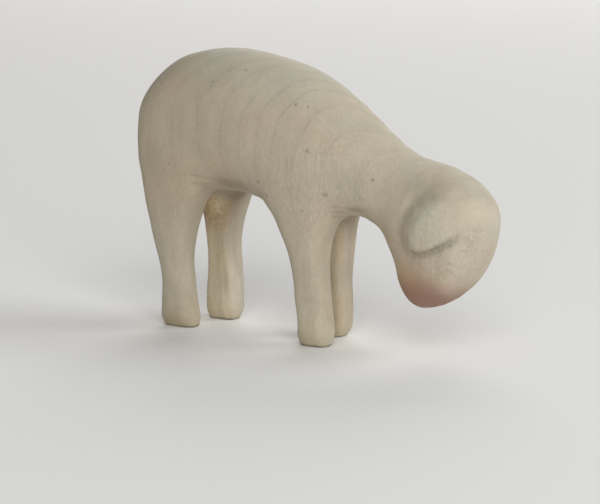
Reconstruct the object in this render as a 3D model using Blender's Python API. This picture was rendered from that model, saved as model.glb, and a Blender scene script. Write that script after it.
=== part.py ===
"""A grazing shorn sheep, carved whole from one small block of limewood and whitewashed.

Six turned and squared masses (trunk, head and four legs) are lofted, fused and filleted into one block.
The feet are sawn off flat, and thin saw cuts then part the block into the pieces a person would name.

Frame: +X towards the head, +Y to the sheep's left, +Z up. The tables are in millimetres, from a point on
the floor between the feet. The finished pieces are moved so that the origin is under the middle of the
whole sheep's box, and MM turns millimetres into metres.
"""
import bpy
import bmesh
import numpy as np
from mathutils import Matrix, Vector

MM = 0.001

# ---- cuts, fillets and facets -------------------------------------------------------------------------
SAW_CUT = 0.3            # width of each thin cut between two parts
LEG_FILLET = 8.5         # reach of the fillet where a leg grows out of the trunk
NECK_FILLET = 6.5        # reach of the fillet between neck and head
RELIEF = 0.4             # how far the ears and the tail stand proud of the block
VOXEL = 1.0              # facet size when the masses are fused
FACET_SHARE = 0.12       # share of the facets kept after thinning
RING_POINTS = 40         # points around each lofted ring
RING_STEP = 1.5          # distance between rings
SETTLE_STEPS = 4         # passes that draw the facets onto the filleted form

# ---- trunk and neck: rings across X -------------------------------------------------------------------
TRUNK = {
    "along":      (-48.0, -36.0, -24.0, -12.0, 0.0, 12.0, 24.0, 36.0),
    "back":       (58.0, 63.5, 66.5, 65.5, 62.5, 55.5, 47.0, 43.0),
    "belly":      (37.0, 35.0, 34.0, 32.0, 29.5, 30.5, 27.0, 22.0),
    "half_width": (12.0, 13.0, 13.5, 13.5, 12.5, 11.0, 9.0, 8.5),
    "rump": -46.5, "nape": 41.5,            # where the form ends behind and in front
    "rump_round": 14.5, "nape_round": 8.0,  # length of each rounded end
    "squareness": 2.2,
}

# ---- head: rings across Z -----------------------------------------------------------------------------
HEAD = {
    "up":         (8.0, 16.0, 24.0, 32.0, 40.0),
    "face":       (37.5, 42.5, 47.5, 49.0, 48.0),
    "throat":     (25.0, 25.5, 23.5, 23.0, 26.5),
    "half_width": (7.5, 8.5, 9.5, 10.0, 9.5),
    "chin": 11.0, "crown": 41.5,
    "chin_round": 8.0, "crown_round": 10.5,
    "squareness": 2.2,
}

# ---- legs: rings across Z, the same heights for all four ----------------------------------------------
LEG_HEIGHTS = (0.0, 5.0, 12.0, 20.0, 30.0, 40.0)
LEG_TOP = 46.0           # the legs end inside the trunk
LEG_TOP_ROUND = 8.0
LEG_FOOT = -3.0          # they run past the floor before the feet are sawn flat
FOOT_TUCK = 1.0          # how far the edge of the foot is rounded in
FOOT_TUCK_HEIGHT = 3.5
LEGS = {
    "leg_hind_right": {
        "side": -1, "squareness": 2.8,
        "front": (-27.5, -29.0, -30.0, -30.0, -27.5, -24.5),
        "rear":  (-38.0, -37.5, -37.5, -39.0, -41.5, -43.0),
        "outer": (9.0, 9.5, 9.5, 10.5, 11.5, 12.0),
        "inner": (2.5, 2.5, 2.5, 2.5, 1.5, 0.5),
    },
    "leg_hind_left": {
        "side": 1, "squareness": 3.6,
        "front": (-25.5, -25.5, -25.5, -26.0, -23.5, -20.5),
        "rear":  (-34.0, -33.5, -33.0, -32.5, -34.5, -39.5),
        "outer": (10.5, 10.5, 10.5, 10.5, 11.5, 12.0),
        "inner": (4.0, 4.0, 3.5, 2.5, 1.5, 0.5),
    },
    "leg_front_right": {
        "side": -1, "squareness": 2.8,
        "front": (10.5, 10.0, 9.0, 8.5, 10.5, 11.5),
        "rear":  (1.0, 1.5, 0.5, -0.5, -5.0, -7.5),
        "outer": (10.0, 10.0, 9.5, 10.0, 11.0, 11.5),
        "inner": (3.0, 3.0, 3.0, 2.5, 1.5, 0.5),
    },
    "leg_front_left": {
        "side": 1, "squareness": 3.2,
        "front": (7.0, 7.5, 7.0, 7.5, 9.0, 11.5),
        "rear":  (0.0, 0.0, -0.5, -1.5, -4.0, -6.5),
        "outer": (8.5, 8.5, 9.0, 9.5, 10.5, 11.5),
        "inner": (2.0, 2.0, 2.0, 2.0, 1.5, 0.5),
    },
}

# ---- saw cuts: a point on each plane and the direction it faces ----------------------------------------
HEAD_CUT = {"point": (24.5, 0.0, 24.0), "faces": (0.894, 0.0, -0.447)}
NECK_CUT = {"point": (7.5, 0.0, 60.0), "faces": (0.945, 0.0, 0.326)}
MUZZLE_CUT = {"point": (35.5, 0.0, 19.5), "faces": (-0.27, 0.0, -0.963)}
LEG_CUT = {"point": (0.0, 0.0, 26.0), "faces": (0.0, 0.0, -1.0)}

# ---- low-relief lobes: an egg-shaped outline, long towards the tip and short towards the root ---------
EAR = {
    "middle": (40.1, 8.5, 33.7),     # of the oval, on the head's left side
    "outward": (0.075, 0.97, 0.23),
    "tip": (-0.71, 0.0, -0.70),      # the way the ear lies, from the middle to its tip
    "length": 11.0, "root": 4.5, "half_width": 5.5, "depth": 1.6,
}
TAIL = {
    "middle": (-45.0, 0.0, 50.0),
    "outward": (-0.98, 0.0, 0.18),
    "tip": (0.0, 0.0, -1.0),
    "length": 9.0, "root": 4.5, "half_width": 3.2, "depth": 1.8,
}
LOBE_REACH = 8.0         # how far a lobe's cutter stands out of the block
LOBE_POINTS = 24         # points around a lobe's outline

COLOURS = {              # base colour, roughness
    "white_wood": ((0.50, 0.44, 0.33), 0.75),
    "ear_wood": ((0.42, 0.40, 0.30), 0.75),
    "muzzle_wood": ((0.42, 0.27, 0.20), 0.70),
}


# ---- curves and forms, all in millimetres --------------------------------------------------------------
def smooth_curve(at, stations, values):
    """Natural cubic spline through the stations, level with its end values outside them."""
    x = np.array(stations, float)
    y = np.array(values, float)
    count = len(x)
    step = np.diff(x)
    matrix = np.eye(count)
    bend = np.zeros(count)
    for i in range(1, count - 1):
        matrix[i, i - 1:i + 2] = step[i - 1], 2.0 * (step[i - 1] + step[i]), step[i]
        bend[i] = 6.0 * ((y[i + 1] - y[i]) / step[i] - (y[i] - y[i - 1]) / step[i - 1])
    second = np.linalg.solve(matrix, bend)
    at = np.clip(at, x[0], x[-1])
    i = np.clip(np.searchsorted(x, at, side="right") - 1, 0, count - 2)
    a = (x[i + 1] - at) / step[i]
    b = (at - x[i]) / step[i]
    cubic = ((a ** 3 - a) * second[i] + (b ** 3 - b) * second[i + 1]) * step[i] ** 2 / 6.0
    return a * y[i] + b * y[i + 1] + cubic


def end_rounding(at, low, high, low_round, high_round):
    """How far each place lies into a rounded end, and that as a share of the end's length."""
    past_low = at - (low + low_round)
    past_high = at - (high - high_round)
    into = np.where(past_low < 0.0, past_low, np.where(past_high > 0.0, past_high, 0.0))
    return into, np.abs(into) / np.where(past_low < 0.0, low_round, high_round)


def trunk_section(x):
    """Centre height, half height, half width and end rounding of the trunk at each x."""
    back = smooth_curve(x, TRUNK["along"], TRUNK["back"])
    belly = smooth_curve(x, TRUNK["along"], TRUNK["belly"])
    width = smooth_curve(x, TRUNK["along"], TRUNK["half_width"])
    ends = end_rounding(x, TRUNK["rump"], TRUNK["nape"], TRUNK["rump_round"], TRUNK["nape_round"])
    return (back + belly) / 2.0, (back - belly) / 2.0, width, *ends


def head_section(z):
    """Centre x, half length, half width and end rounding of the head at each height."""
    face = smooth_curve(z, HEAD["up"], HEAD["face"])
    throat = smooth_curve(z, HEAD["up"], HEAD["throat"])
    width = smooth_curve(z, HEAD["up"], HEAD["half_width"])
    ends = end_rounding(z, HEAD["chin"], HEAD["crown"], HEAD["chin_round"], HEAD["crown_round"])
    return (face + throat) / 2.0, (face - throat) / 2.0, width, *ends


def leg_section(z, leg):
    """Centre x and y, half length, half width and end rounding of one leg at each height."""
    front, rear, outer, inner = (
        smooth_curve(z, LEG_HEIGHTS, leg[edge]) for edge in ("front", "rear", "outer", "inner"))
    tuck = FOOT_TUCK * np.clip(1.0 - z / FOOT_TUCK_HEIGHT, 0.0, 1.0) ** 2
    into = np.maximum(z - (LEG_TOP - LEG_TOP_ROUND), 0.0)
    middle = leg["side"] * (outer + inner) / 2.0
    return ((front + rear) / 2.0, middle, (front - rear) / 2.0 - tuck, (outer - inner) / 2.0 - tuck,
            into, into / LEG_TOP_ROUND)


def distance(a, b, c, half_a, half_b, share_c, squareness):
    """Distance to a squared oval: offsets over half sizes, each to the power of squareness, sum to one."""
    total = (np.abs(a) / half_a) ** squareness + (np.abs(b) / half_b) ** squareness
    size = np.maximum((total + share_c ** squareness) ** (1.0 / squareness), 0.001)
    return np.sqrt(a * a + b * b + c * c) * (1.0 - 1.0 / size)


def melt(a, b, reach):
    """The nearer of two distances, rounded off where they are within reach of each other."""
    overlap = np.maximum(reach - np.abs(a - b), 0.0) / reach
    return np.minimum(a, b) - overlap ** 3 * reach / 6.0


def block_distance(points):
    """Distance of each point to the filleted block, negative inside."""
    x, y, z = points.T
    centre, tall, wide, into, share = trunk_section(x)
    total = distance(z - centre, y, into, tall, wide, share, TRUNK["squareness"])
    centre, long, wide, into, share = head_section(z)
    head = distance(x - centre, y, into, long, wide, share, HEAD["squareness"])
    total = melt(total, head, NECK_FILLET)
    for leg in LEGS.values():
        centre, middle, long, wide, into, share = leg_section(z, leg)
        one = distance(x - centre, y - middle, into, long, wide, share, leg["squareness"])
        total = melt(total, one, LEG_FILLET)
    return total


# ---- meshes --------------------------------------------------------------------------------------------
def add_loft(bm, rings):
    """Bridge a stack of rings of points, in millimetres, and close both ends."""
    loops = [[bm.verts.new(Vector(point) * MM) for point in ring] for ring in rings]
    for lower, upper in zip(loops[:-1], loops[1:]):
        for i in range(len(lower)):
            j = (i + 1) % len(lower)
            bm.faces.new((lower[i], lower[j], upper[j], upper[i]))
    bm.faces.new(loops[0][::-1])
    bm.faces.new(loops[-1])


def ring_places(low, high):
    """Places along a mass, drawn together towards both ends so that the caps come out round."""
    count = int((high - low) / RING_STEP)
    turn = np.linspace(0.02, 0.98, count) * np.pi
    return (low + high) / 2.0 - np.cos(turn) * (high - low) / 2.0


def squared_ring(squareness):
    """Unit squared oval: each direction's cosine and sine over their summed powers."""
    turn = np.arange(RING_POINTS) * 2.0 * np.pi / RING_POINTS
    c, s = np.cos(turn), np.sin(turn)
    size = (np.abs(c) ** squareness + np.abs(s) ** squareness) ** (-1.0 / squareness)
    return c * size, s * size


def shrink(share, squareness):
    """How much a ring narrows inside a rounded end."""
    return np.clip(1.0 - share ** squareness, 0.0, 1.0) ** (1.0 / squareness)


def lofted_masses():
    """Trunk, head and legs as overlapping closed lofts in one mesh."""
    bm = bmesh.new()
    x = ring_places(TRUNK["rump"], TRUNK["nape"])
    centre, tall, wide, _, share = trunk_section(x)
    k = shrink(share, TRUNK["squareness"])
    c, s = squared_ring(TRUNK["squareness"])
    rings = np.stack([x[:, None] + 0 * c, (wide * k)[:, None] * c, centre[:, None] + (tall * k)[:, None] * s], 2)
    add_loft(bm, rings)
    z = ring_places(HEAD["chin"], HEAD["crown"])
    centre, long, wide, _, share = head_section(z)
    k = shrink(share, HEAD["squareness"])
    c, s = squared_ring(HEAD["squareness"])
    rings = np.stack([centre[:, None] + (long * k)[:, None] * c, (wide * k)[:, None] * s, z[:, None] + 0 * c], 2)
    add_loft(bm, rings)
    for leg in LEGS.values():
        z = ring_places(LEG_FOOT, LEG_TOP)
        centre, middle, long, wide, _, share = leg_section(z, leg)
        k = shrink(share, leg["squareness"])
        c, s = squared_ring(leg["squareness"])
        rings = np.stack([centre[:, None] + (long * k)[:, None] * c,
                          middle[:, None] + (wide * k)[:, None] * s, z[:, None] + 0 * c], 2)
        add_loft(bm, rings)
    bmesh.ops.recalc_face_normals(bm, faces=bm.faces)
    return bm


def settle(bm, level):
    """Draw every corner along the slope of the form until it lies level millimetres outside the block."""
    points = np.array([v.co for v in bm.verts]) / MM
    nudge = 0.05
    for _ in range(SETTLE_STEPS):
        off = block_distance(points) - level
        slope = np.empty_like(points)
        for axis in range(3):
            shift = np.zeros(3)
            shift[axis] = nudge
            slope[:, axis] = (block_distance(points + shift) - block_distance(points - shift)) / (2.0 * nudge)
        steep = np.maximum((slope ** 2).sum(1), 0.05)
        points -= (np.clip(off, -1.0, 1.0) / steep)[:, None] * slope
    for vert, point in zip(bm.verts, points):
        vert.co = Vector(point) * MM


def with_modifiers(bm, *modifiers):
    """Run the mesh through modifiers, each a type and its settings."""
    mesh = bpy.data.meshes.new("work")
    bm.to_mesh(mesh)
    bm.free()
    obj = bpy.data.objects.new("work", mesh)
    bpy.context.scene.collection.objects.link(obj)
    for kind, settings in modifiers:
        modifier = obj.modifiers.new(kind.lower(), kind)
        for name, value in settings.items():
            setattr(modifier, name, value)
    graph = bpy.context.evaluated_depsgraph_get()
    result = bmesh.new()
    result.from_mesh(obj.evaluated_get(graph).to_mesh())
    bpy.data.objects.remove(obj, do_unlink=True)
    bpy.data.meshes.remove(mesh)
    return result


def whole_block(level):
    """The whole sheep as one closed, filleted, evenly faceted mesh with its feet sawn flat."""
    bm = with_modifiers(lofted_masses(), ("REMESH", {"mode": "VOXEL", "voxel_size": VOXEL * MM}))
    settle(bm, level)
    bm = with_modifiers(bm, ("DECIMATE", {"ratio": FACET_SHARE}))
    settle(bm, level)
    return keep_side(bm, (0.0, 0.0, 0.0), (0.0, 0.0, 1.0))


def keep_side(bm, point, faces):
    """Saw through a plane, keep the side that it faces and close the sawn ends."""
    geometry = bm.verts[:] + bm.edges[:] + bm.faces[:]
    bmesh.ops.bisect_plane(bm, geom=geometry, dist=0.02 * MM, plane_co=Vector(point) * MM,
                           plane_no=Vector(faces), clear_inner=True)
    open_edges = [edge for edge in bm.edges if edge.is_boundary]
    ends = bmesh.ops.holes_fill(bm, edges=open_edges, sides=0)["faces"]
    bmesh.ops.triangulate(bm, faces=ends)
    bmesh.ops.recalc_face_normals(bm, faces=bm.faces)
    return bm


def saw(bm, cut):
    """Part a mesh at a plane: the piece that the plane faces, and the piece behind it."""
    point, faces = Vector(cut["point"]), Vector(cut["faces"]).normalized()
    half = faces * SAW_CUT / 2.0
    behind = keep_side(bm.copy(), point - half, -faces)
    ahead = keep_side(bm, point + half, faces)
    return ahead, behind


def islands(bm):
    """The separate pieces of a mesh, as meshes of their own."""
    left = set(bm.faces)
    pieces = []
    while left:
        found = {left.pop()}
        edge_of = list(found)
        while edge_of:
            face = edge_of.pop()
            near = {other for edge in face.edges for other in edge.link_faces} - found
            found |= near
            edge_of += near
        left -= found
        piece = bm.copy()
        piece.faces.ensure_lookup_table()
        kept = {face.index for face in found}
        bmesh.ops.delete(piece, geom=[f for f in piece.faces if f.index not in kept], context="FACES")
        pieces.append(piece)
    return pieces


def lobe_cutter(lobe, side, grow):
    """A prism over the lobe's outline: half an oval towards the tip, half a shorter one to the root."""
    mirror = Vector((1.0, side, 1.0))
    outward = (Vector(lobe["outward"]) * mirror).normalized()
    tip = Vector(lobe["tip"]) * mirror
    tip = (tip - outward * tip.dot(outward)).normalized()
    across = outward.cross(tip)
    turn = np.arange(LOBE_POINTS) * 2.0 * np.pi / LOBE_POINTS
    along = np.cos(turn) * np.where(np.cos(turn) > 0.0, lobe["length"] + grow, lobe["root"] + grow)
    aside = np.sin(turn) * (lobe["half_width"] + grow)
    middle = Vector(lobe["middle"]) * mirror
    bm = bmesh.new()
    add_loft(bm, [[middle + tip * a + across * b + outward * level for a, b in zip(along, aside)]
                  for level in (-lobe["depth"] - grow, LOBE_REACH)])
    bmesh.ops.recalc_face_normals(bm, faces=bm.faces)
    return bm


def combine(bm, cutter, operation):
    """Boolean of two meshes."""
    mesh = bpy.data.meshes.new("cutter")
    cutter.to_mesh(mesh)
    cutter.free()
    obj = bpy.data.objects.new("cutter", mesh)
    obj.hide_render = True
    obj.display_type = "WIRE"
    bpy.context.scene.collection.objects.link(obj)
    result = with_modifiers(bm, ("BOOLEAN", {"object": obj, "operation": operation, "solver": "EXACT"}))
    bpy.data.objects.remove(obj, do_unlink=True)
    bpy.data.meshes.remove(mesh)
    return result


def carve_lobe(body, raised, lobe, side):
    """Take a lobe out of the raised form, and its place, a saw cut wider, out of the body."""
    piece = combine(raised.copy(), lobe_cutter(lobe, side, 0.0), "INTERSECT")
    body = combine(body, lobe_cutter(lobe, side, SAW_CUT), "DIFFERENCE")
    return piece, body


# ---- objects -------------------------------------------------------------------------------------------
def material(name):
    """A plain painted wood in the part's colour."""
    made = bpy.data.materials.get(name) or bpy.data.materials.new(name)
    made.use_nodes = True
    shader = made.node_tree.nodes["Principled BSDF"]
    colour, roughness = COLOURS[name]
    shader.inputs["Base Color"].default_value = (*colour, 1.0)
    shader.inputs["Roughness"].default_value = roughness
    shader.inputs["Metallic"].default_value = 0.0
    return made


def place(name, bm, finish, parent, shift):
    """Make one named object, its origin at the middle of its box, moved by the sheep's shift."""
    bmesh.ops.dissolve_degenerate(bm, dist=0.005 * MM, edges=bm.edges)
    bmesh.ops.triangulate(bm, faces=bm.faces)
    corners = np.array([v.co for v in bm.verts])
    middle = Vector((corners.min(0) + corners.max(0)) / 2.0)
    bmesh.ops.transform(bm, matrix=Matrix.Translation(-middle), verts=bm.verts)
    mesh = bpy.data.meshes.new(name)
    bm.to_mesh(mesh)
    bm.free()
    mesh.shade_smooth()
    mesh.set_sharp_from_angle(angle=np.radians(40.0))
    mesh.materials.append(material(finish))
    obj = bpy.data.objects.new(name, mesh)
    obj.location = middle + shift
    obj.parent = parent
    bpy.context.scene.collection.objects.link(obj)


def leg_name(piece):
    """The name of the leg whose foot stands where the piece's lowest corner does."""
    lowest = min(piece.verts, key=lambda vert: vert.co.z).co / MM

    def stray(name):
        x, y, *_ = leg_section(np.array([0.0]), LEGS[name])
        return abs(lowest.x - x[0]) + abs(lowest.y - y[0])
    return min(LEGS, key=stray)


def build_sheep():
    for obj in list(bpy.data.objects):
        bpy.data.objects.remove(obj, do_unlink=True)
    whole = whole_block(0.0)
    raised = whole_block(RELIEF)
    head, rest = saw(whole, HEAD_CUT)
    neck, body = saw(rest, NECK_CUT)
    legs, trunk = saw(body, LEG_CUT)
    muzzle, head = saw(head, MUZZLE_CUT)
    ear_left, head = carve_lobe(head, raised, EAR, 1)
    ear_right, head = carve_lobe(head, raised, EAR, -1)
    tail, trunk = carve_lobe(trunk, raised, TAIL, 1)

    parent = bpy.data.objects.new("sheep", None)
    bpy.context.scene.collection.objects.link(parent)
    pieces = [("trunk", trunk, "white_wood"), ("neck", neck, "white_wood"), ("head", head, "white_wood"),
              ("muzzle", muzzle, "muzzle_wood"), ("tail", tail, "white_wood"),
              ("ear_left", ear_left, "ear_wood"), ("ear_right", ear_right, "ear_wood")]
    pieces += [(leg_name(leg), leg, "white_wood") for leg in islands(legs)]
    corners = np.array([vert.co for _, piece, _ in pieces for vert in piece.verts])
    middle = (corners.min(0) + corners.max(0)) / 2.0
    shift = Vector((-middle[0], -middle[1], 0.0))
    for name, piece, finish in pieces:
        place(name, piece, finish, parent, shift)


build_sheep()
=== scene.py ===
import math
import bpy
import numpy as np
from mathutils import Matrix, Vector


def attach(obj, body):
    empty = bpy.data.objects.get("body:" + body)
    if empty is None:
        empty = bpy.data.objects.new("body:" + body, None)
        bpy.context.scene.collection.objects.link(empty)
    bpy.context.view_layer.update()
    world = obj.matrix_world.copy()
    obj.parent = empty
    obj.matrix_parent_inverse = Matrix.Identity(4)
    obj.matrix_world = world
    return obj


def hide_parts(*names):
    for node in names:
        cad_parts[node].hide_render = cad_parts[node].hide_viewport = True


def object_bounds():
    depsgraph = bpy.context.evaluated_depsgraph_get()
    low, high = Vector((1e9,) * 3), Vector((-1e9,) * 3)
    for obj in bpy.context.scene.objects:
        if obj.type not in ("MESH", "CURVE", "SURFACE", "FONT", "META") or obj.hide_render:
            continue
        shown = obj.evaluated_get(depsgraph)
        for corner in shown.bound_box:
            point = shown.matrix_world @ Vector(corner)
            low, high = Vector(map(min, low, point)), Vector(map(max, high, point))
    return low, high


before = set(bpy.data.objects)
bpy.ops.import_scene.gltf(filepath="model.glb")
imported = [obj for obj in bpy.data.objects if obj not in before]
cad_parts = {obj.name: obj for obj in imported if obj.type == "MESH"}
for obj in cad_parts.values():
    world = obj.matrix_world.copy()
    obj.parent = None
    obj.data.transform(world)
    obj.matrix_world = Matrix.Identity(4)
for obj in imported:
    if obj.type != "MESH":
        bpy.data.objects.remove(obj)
cadLow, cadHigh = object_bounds()
mm = 0.001
print("frame loaded,", len(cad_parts), "parts of one carved block")

# camera: a long lens, low down, ahead of the sheep's right side
view = {
    "azimuth": 33.9, "elevation": 10.0, "roll": 0.27,    # degrees
    "distance": 0.623, "near": 0.01, "far": 20.0,        # metres
    "lens": 160.5, "sensor": 36.0,                       # millimetres
    "aim": (-0.042, 0.299),            # in the sheep's lengths from its middle, and heights from the floor
}


# the way from the sheep to a place round it, from degrees round from its right side and above the floor
def wayTo(azimuth, elevation):
    a, e = math.radians(azimuth), math.radians(elevation)
    return Vector((math.sin(a) * math.cos(e), -math.cos(a) * math.cos(e), math.sin(e)))


def makeCamera():
    size, middle = cadHigh - cadLow, (cadLow + cadHigh) / 2
    aim = Vector((middle.x + view["aim"][0] * size.x, middle.y, cadLow.z + view["aim"][1] * size.z))
    back = wayTo(view["azimuth"], view["elevation"])
    turn, roll = math.radians(view["azimuth"]), math.radians(view["roll"])
    right = Vector((math.cos(turn), math.sin(turn), 0))
    above = back.cross(right)
    across = right * math.cos(roll) + above * math.sin(roll)
    upward = above * math.cos(roll) - right * math.sin(roll)
    data = bpy.data.cameras.new("camera")
    data.lens, data.sensor_width = view["lens"], view["sensor"]
    data.clip_start, data.clip_end = view["near"], view["far"]
    camera = bpy.data.objects.new("camera", data)
    camera.location = aim + back * view["distance"]
    camera.rotation_euler = Matrix((across, upward, back)).transposed().to_euler()
    bpy.context.scene.collection.objects.link(camera)
    bpy.context.scene.camera = camera


makeCamera()

# the block's masses in millimetres, from a point on the floor between the feet: +x to the head, +z up
trunk = {
    "along": (-48, -36, -24, -12, 0, 12, 24, 36),
    "back": (58, 63.5, 66.4, 65.5, 62.7, 55.6, 47, 43),
    "belly": (37, 35, 33.6, 32.0, 29.2, 30.5, 27.3, 22),
    "halfWidth": (12, 13, 13.5, 13.5, 12.5, 11, 9, 8.5),
    "ends": (-46.7, 41.5), "rounds": (14.5, 8), "squareness": 2.2,
}
head = {
    "up": (8, 16, 24, 32, 40),
    "face": (37.6, 42.7, 47.6, 49, 48),
    "throat": (25.1, 25.7, 23.5, 22.3, 26.3),
    "halfWidth": (7.5, 8.5, 9.5, 10, 9.5),
    "ends": (10.9, 41.5), "rounds": (8, 10.5), "squareness": 2.2,
}
legs = {
    "up": (0, 5, 12, 20, 30, 40),
    "top": 46, "topRound": 8, "footTuck": 1.0, "tuckHeight": 3.5,
    "hindRight": {
        "side": -1, "squareness": (3.0, 3.0, 2.8, 2.8, 2.8, 2.8),
        "front": (-27.5, -29, -30, -29.5, -26.7, -23.8),
        "rear": (-38, -37.5, -37.5, -39, -41.5, -43),
        "outer": (9, 9.5, 9.5, 10.5, 11.5, 12),
        "inner": (2.5, 2.5, 2.5, 2.5, 1.5, 0.5),
    },
    "hindLeft": {
        "side": 1, "squareness": (3.4, 4.5, 7.0, 7.0, 4.5, 3.4),
        "front": (-25.3, -25.3, -25.8, -26.2, -23.3, -19.8),
        "rear": (-34.1, -33.6, -32.6, -32.3, -34.2, -39.5),
        "outer": (10.5, 10.4, 10.3, 10.3, 11.3, 12),
        "inner": (4, 4.1, 3.7, 2.7, 1.6, 0.5),
    },
    "frontRight": {
        "side": -1, "squareness": (2.7, 3.3, 3.4, 3.0, 2.8, 2.8),
        "front": (10.5, 10, 9, 8.5, 10.5, 11.5),
        "rear": (1.4, 1.9, 0.8, -0.6, -5.0, -7.6),
        "outer": (10, 10, 9.5, 10, 11, 11.5),
        "inner": (3, 3, 3, 2.5, 1.5, 0.5),
    },
    "frontLeft": {
        "side": 1, "squareness": (3.2, 3.4, 3.6, 3.4, 3.2, 3.2),
        "front": (7, 7.5, 6.9, 7.3, 8.7, 11.5),
        "rear": (0, 0, -0.5, -1.5, -4, -6.5),
        "outer": (8.5, 8.7, 9.2, 9.5, 10.5, 11.5),
        "inner": (2, 2, 2, 2, 1.5, 0.5),
    },
}
legNames = ("hindRight", "hindLeft", "frontRight", "frontLeft")
block = {
    "legFillet": 8.5, "neckFillet": 7.5,   # reach of the rounded meetings
    "footRim": 0.5,                        # rounding where the foot meets the floor
    "sole": 0.03,                          # anything lower than this lies flat on the floor
    "ringPoints": 64, "ringCount": 48,     # of each loft
    "nudge": 0.05,                         # the short step each way that a slope is read over
    "farthest": 1.0, "gentlest": 0.05,     # a point's longest step, and the least square of a slope
    "facet": 0.41,                         # edge length of the finished skin
}


# natural cubic spline: straight blends of neighbouring values plus cubic bends that join smoothly
def curveThrough(at, stations, values):
    x, y = np.array(stations, float), np.array(values, float)
    n, step = len(x), np.diff(x)
    matrix, bend = np.eye(n), np.zeros(n)
    for i in range(1, n - 1):
        matrix[i, i - 1:i + 2] = step[i - 1], 2 * (step[i - 1] + step[i]), step[i]
        bend[i] = 6 * ((y[i + 1] - y[i]) / step[i] - (y[i] - y[i - 1]) / step[i - 1])
    second = np.linalg.solve(matrix, bend)
    at = np.clip(at, x[0], x[-1])
    i = np.clip(np.searchsorted(x, at, side="right") - 1, 0, n - 2)
    a, b = (x[i + 1] - at) / step[i], (at - x[i]) / step[i]
    bends = (a ** 3 - a) * second[i] + (b ** 3 - b) * second[i + 1]
    return a * y[i] + b * y[i + 1] + bends * step[i] ** 2 / 6


# nought up to low, one past high, and an S-shaped cubic between them; low may be the larger
def easeStep(low, high, value):
    t = np.clip((value - low) / (high - low), 0, 1)
    return t * t * (3 - 2 * t)


# how far a place lies into a rounded end, in millimetres and as a share of that end's length
def intoEnd(at, ends, rounds):
    low, high = at - ends[0] - rounds[0], at - ends[1] + rounds[1]
    into = np.where(low < 0, low, np.where(high > 0, high, 0.0))
    return into, np.abs(into) / np.where(low < 0, rounds[0], rounds[1])


# each section is its centre, its two half sizes, and how far it lies into a rounded end
def trunkSection(x):
    back, belly, wide = (curveThrough(x, trunk["along"], trunk[k]) for k in ("back", "belly", "halfWidth"))
    return ((back + belly) / 2, (back - belly) / 2, wide) + intoEnd(x, trunk["ends"], trunk["rounds"])


def headSection(z):
    face, throat, wide = (curveThrough(z, head["up"], head[k]) for k in ("face", "throat", "halfWidth"))
    return ((face + throat) / 2, (face - throat) / 2, wide) + intoEnd(z, head["ends"], head["rounds"])


def legSection(z, leg):
    front, rear, outer, inner, squareness = (
        curveThrough(z, legs["up"], leg[k]) for k in ("front", "rear", "outer", "inner", "squareness"))
    tuck = legs["footTuck"] * np.clip(1 - z / legs["tuckHeight"], 0, 1) ** 2
    into = np.maximum(z - legs["top"] + legs["topRound"], 0)
    return ((front + rear) / 2, leg["side"] * (outer + inner) / 2, (front - rear) / 2 - tuck,
            (outer - inner) / 2 - tuck, into, into / legs["topRound"], squareness)


# distance to a squared oval: the offsets over their half sizes, each to the power of the squareness, add up
# to one on the surface; the offset's length times one less the inverse of that sum's root is the distance
def ovalDistance(a, b, c, halfA, halfB, shareC, squareness):
    total = (np.abs(a) / halfA) ** squareness + (np.abs(b) / halfB) ** squareness + shareC ** squareness
    size = np.maximum(total ** (1 / squareness), 0.001)
    return np.sqrt(a * a + b * b + c * c) * (1 - 1 / size)


# the nearer of two distances, less a cube of how closely they agree, which rounds the meeting off
def melt(a, b, reach):
    overlap = np.maximum(reach - np.abs(a - b), 0) / reach
    return np.minimum(a, b) - overlap ** 3 * reach / 6, overlap


# distance to the whole block, and how deep in a hollow by a leg a point lies, from nought to one
def blockForm(p):
    x, y, z = p.T
    centre, tall, wide, into, share = trunkSection(x)
    total = ovalDistance(z - centre, y, into, tall, wide, share, trunk["squareness"])
    centre, long, wide, into, share = headSection(z)
    one = ovalDistance(x - centre, y, into, long, wide, share, head["squareness"])
    total, _ = melt(total, one, block["neckFillet"])
    hollow = np.zeros(len(p))
    for name in legNames:
        centre, middle, long, wide, into, share, squareness = legSection(z, legs[name])
        one = ovalDistance(x - centre, y - middle, into, long, wide, share, squareness)
        total, overlap = melt(total, one, block["legFillet"])
        hollow = np.maximum(hollow, overlap)
    foot, _ = melt(-total, z, block["footRim"])
    return -foot, hollow


def blockDistance(p):
    return blockForm(p)[0]


# a profile carried along a path: ring i of the grid is the unit squared oval, scaled by the two half sizes
# of section i and set at its centre; the last ring at each end is drawn in to a pole
def carryProfile(centres, halfA, halfB, axisA, axisB, squareness):
    turn = np.arange(block["ringPoints"]) * 2 * np.pi / block["ringPoints"]
    c, s = np.cos(turn), np.sin(turn)
    squareness = np.broadcast_to(squareness, halfA.shape)[:, None]
    size = (np.abs(c) ** squareness + np.abs(s) ** squareness) ** (-1 / squareness)
    across = (halfA[:, None] * c * size)[..., None] * axisA + (halfB[:, None] * s * size)[..., None] * axisB
    rings = centres[:, None, :] + across
    points = np.concatenate([centres[:1], rings.reshape(-1, 3), centres[-1:]])
    n, m = rings.shape[:2]
    i, j = np.meshgrid(np.arange(n - 1), np.arange(m), indexing="ij")
    k = (j + 1) % m
    paintedShadeCorners = (1 + i * m + j, 1 + i * m + k, 1 + (i + 1) * m + k, 1 + (i + 1) * m + j)
    quads = np.stack(paintedShadeCorners, -1).reshape(-1, 4)
    j, k = np.arange(m), (np.arange(m) + 1) % m
    low = np.stack([np.zeros(m, int), 1 + k, 1 + j], -1)
    high = np.stack([np.full(m, 1 + n * m), 1 + (n - 1) * m + j, 1 + (n - 1) * m + k], -1)
    return points, quads.tolist() + low.tolist() + high.tolist()


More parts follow.
